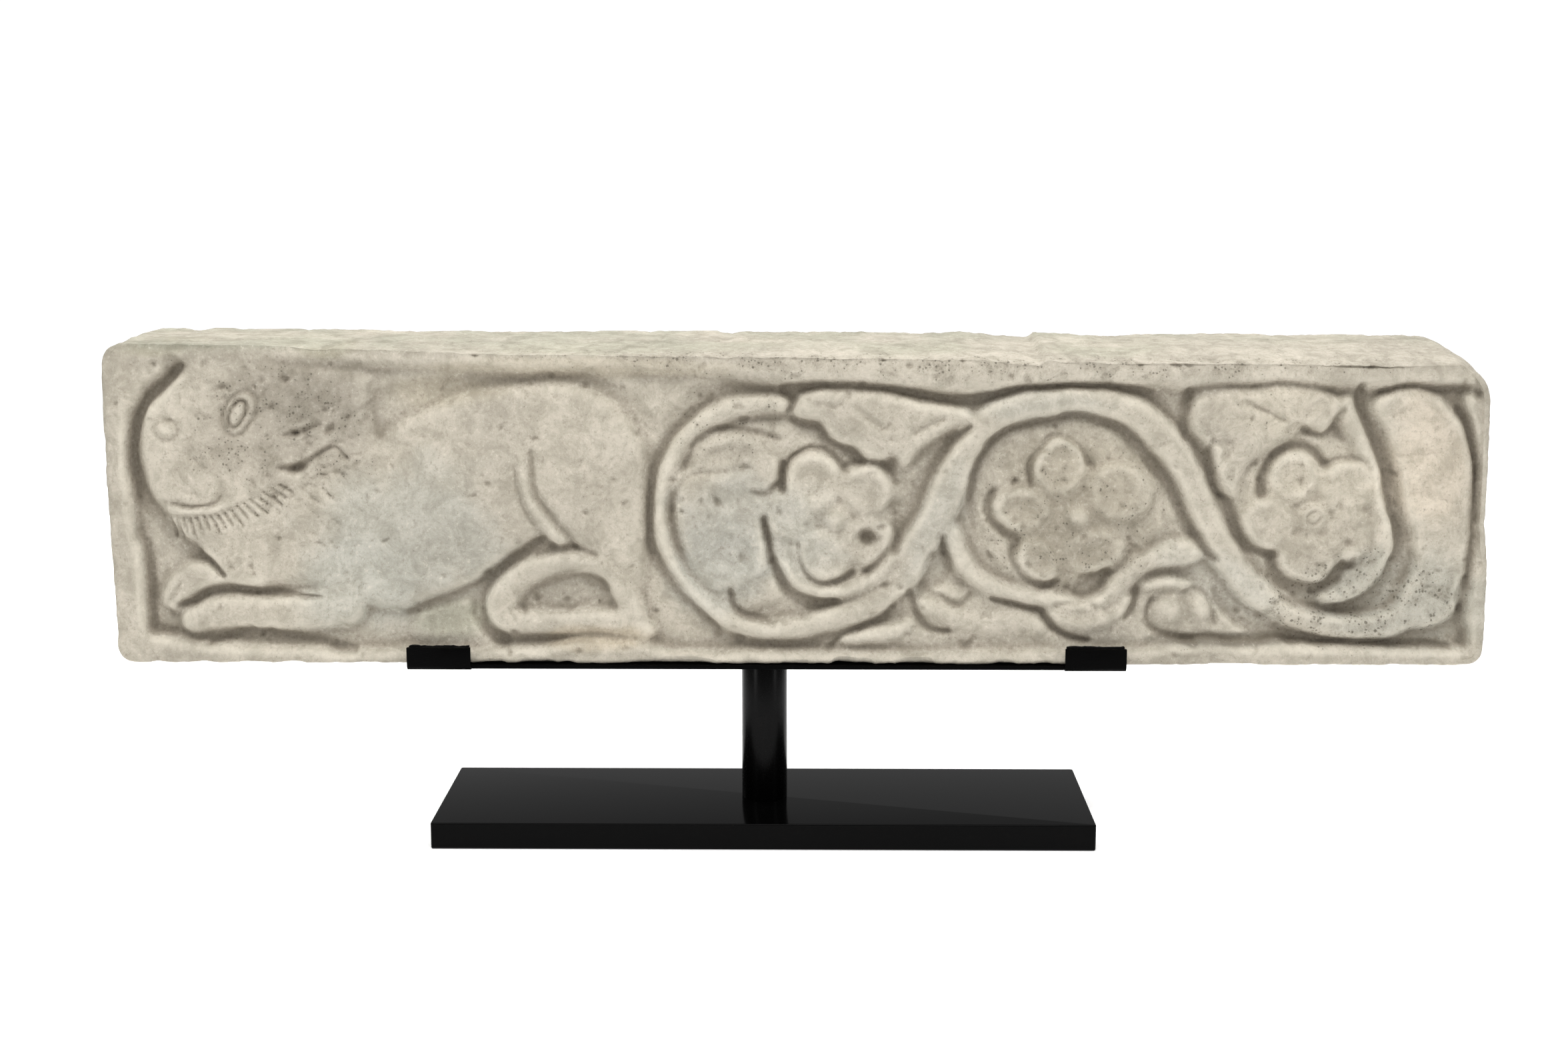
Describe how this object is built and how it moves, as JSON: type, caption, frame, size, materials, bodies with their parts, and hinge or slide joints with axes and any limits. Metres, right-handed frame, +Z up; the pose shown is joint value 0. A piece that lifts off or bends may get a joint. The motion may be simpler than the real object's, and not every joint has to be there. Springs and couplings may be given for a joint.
{
  "type": "carved stone relief panel on a stand",
  "caption": "Long weathered stone block carved with a crouching lion and a flowering vine scroll, held in a bent sheet cradle on a round post and a flat plate.",
  "frame": {"origin": "centre of the base plate's underside", "axes": "+X along the panel to the right as its carved face is seen, +Y away from the carved face, +Z up"},
  "size_m": [1.025, 0.15, 0.3814],
  "materials": {
    "weathered_limestone": "matt, worn and pitted, with lichen and grime",
    "black_sheet": "satin black bent sheet",
    "black_felt": "matt black pad",
    "gloss_black_metal": "high gloss black"
  },
  "bodies": {
    "root": {"stone_panel": "weathered_limestone", "cradle": "black_sheet", "front_pad_left": "black_felt", "front_pad_right": "black_felt", "rear_pad_left": "black_felt", "rear_pad_right": "black_felt", "post": "gloss_black_metal", "base_plate": "gloss_black_metal"}
  },
  "joints": []
}
